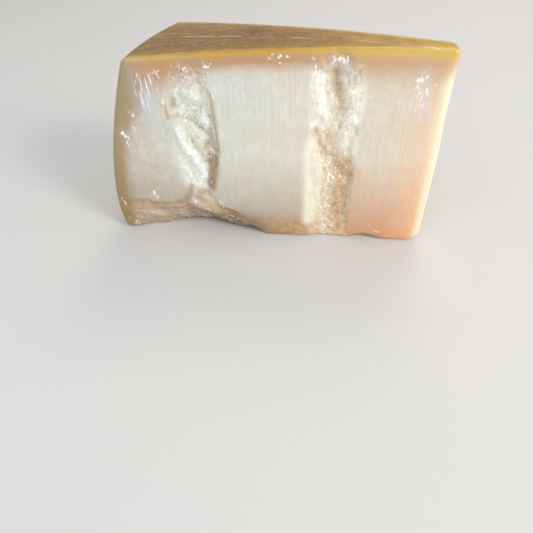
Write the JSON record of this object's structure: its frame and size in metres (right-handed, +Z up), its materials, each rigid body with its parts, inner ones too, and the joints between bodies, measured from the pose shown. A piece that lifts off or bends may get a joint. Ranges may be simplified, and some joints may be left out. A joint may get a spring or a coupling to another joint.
{
  "type": "parmesan chunk",
  "caption": "Wedge chunk of hard parmesan in tight clear film: flat rind on top, bulging side rind, blunt tip, smooth and craggy bands on its cut faces, level underside to rest on.",
  "frame": {"origin": "middle of the bounding box on the level underside that the chunk rests on", "axes": "+X along the front cut face from the side rind to the blunt tip, +Y from the front cut face towards the back cut face, +Z up to the flat rind"},
  "size_m": [0.1868, 0.0764, 0.1088],
  "materials": {
    "cheese": "satin",
    "film": "clear stretched film"
  },
  "bodies": {
    "root": {"parmesan_chunk": "cheese"}
  },
  "joints": []
}
